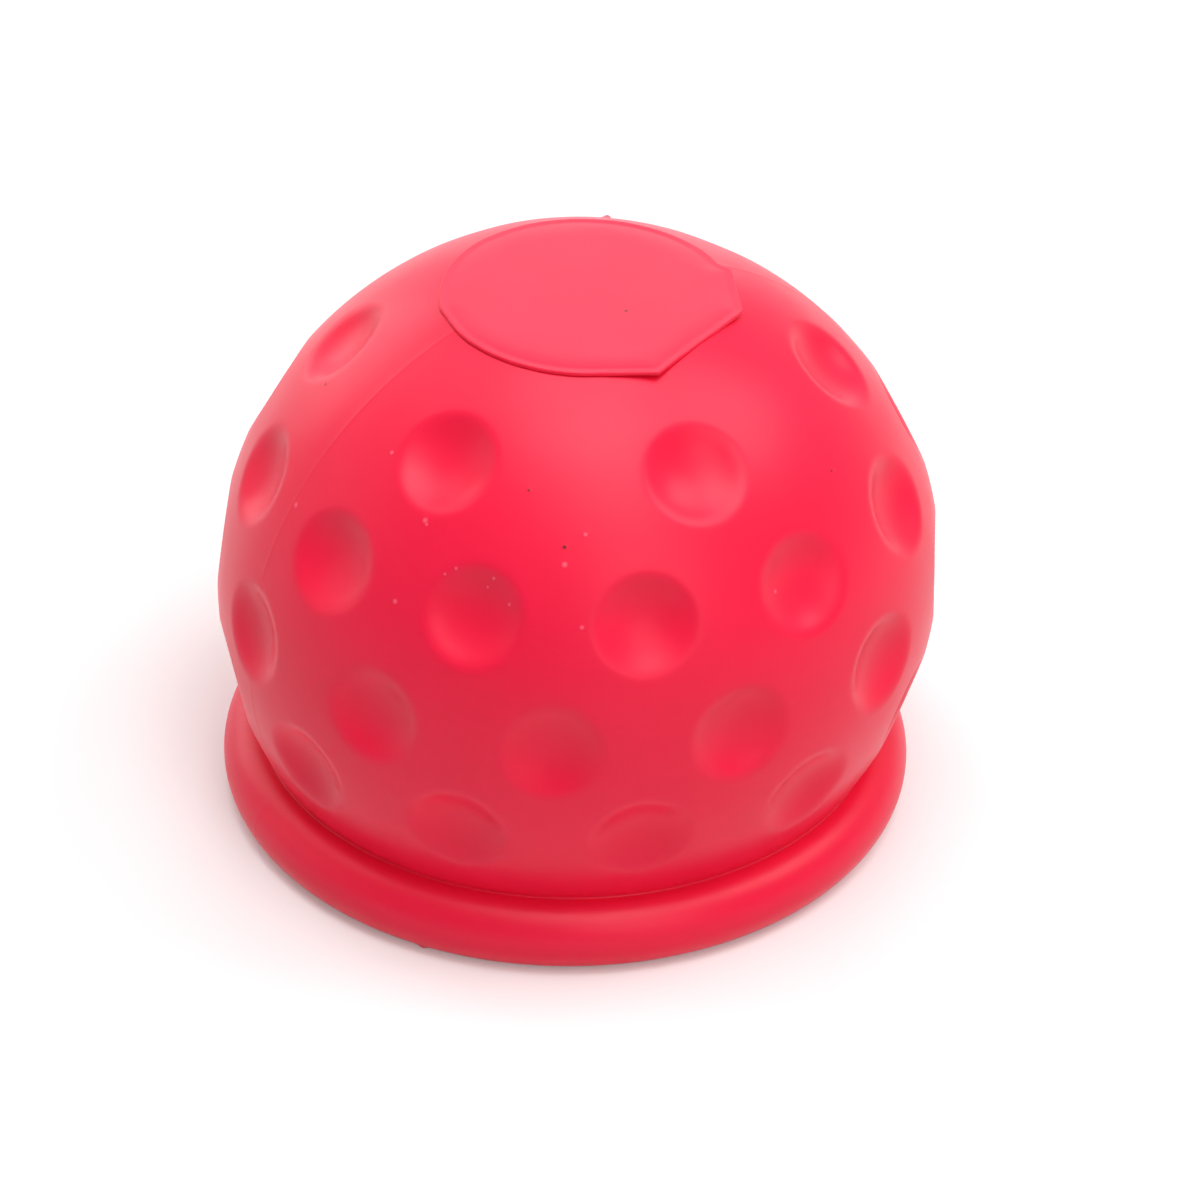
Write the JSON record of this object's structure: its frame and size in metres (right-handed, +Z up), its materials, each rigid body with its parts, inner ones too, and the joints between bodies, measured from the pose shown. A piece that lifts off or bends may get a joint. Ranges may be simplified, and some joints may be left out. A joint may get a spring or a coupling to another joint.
{
  "type": "tow ball cover",
  "caption": "Soft red moulded cap with a dimpled dome, a flat pad on top and a flared rim; its hollow snaps over a car's tow ball to keep dirt and grease apart.",
  "frame": {"origin": "centre of the base ring, on the plane that the cap stands on", "axes": "+Z up along the cap's axis, from the mouth to the pad; -Y is the front, the side that the picture shows"},
  "size_m": [0.0648, 0.0648, 0.0527],
  "materials": {
    "red_rubber": "satin, as moulded"
  },
  "bodies": {
    "root": {"ball_cover": "red_rubber"}
  },
  "joints": []
}
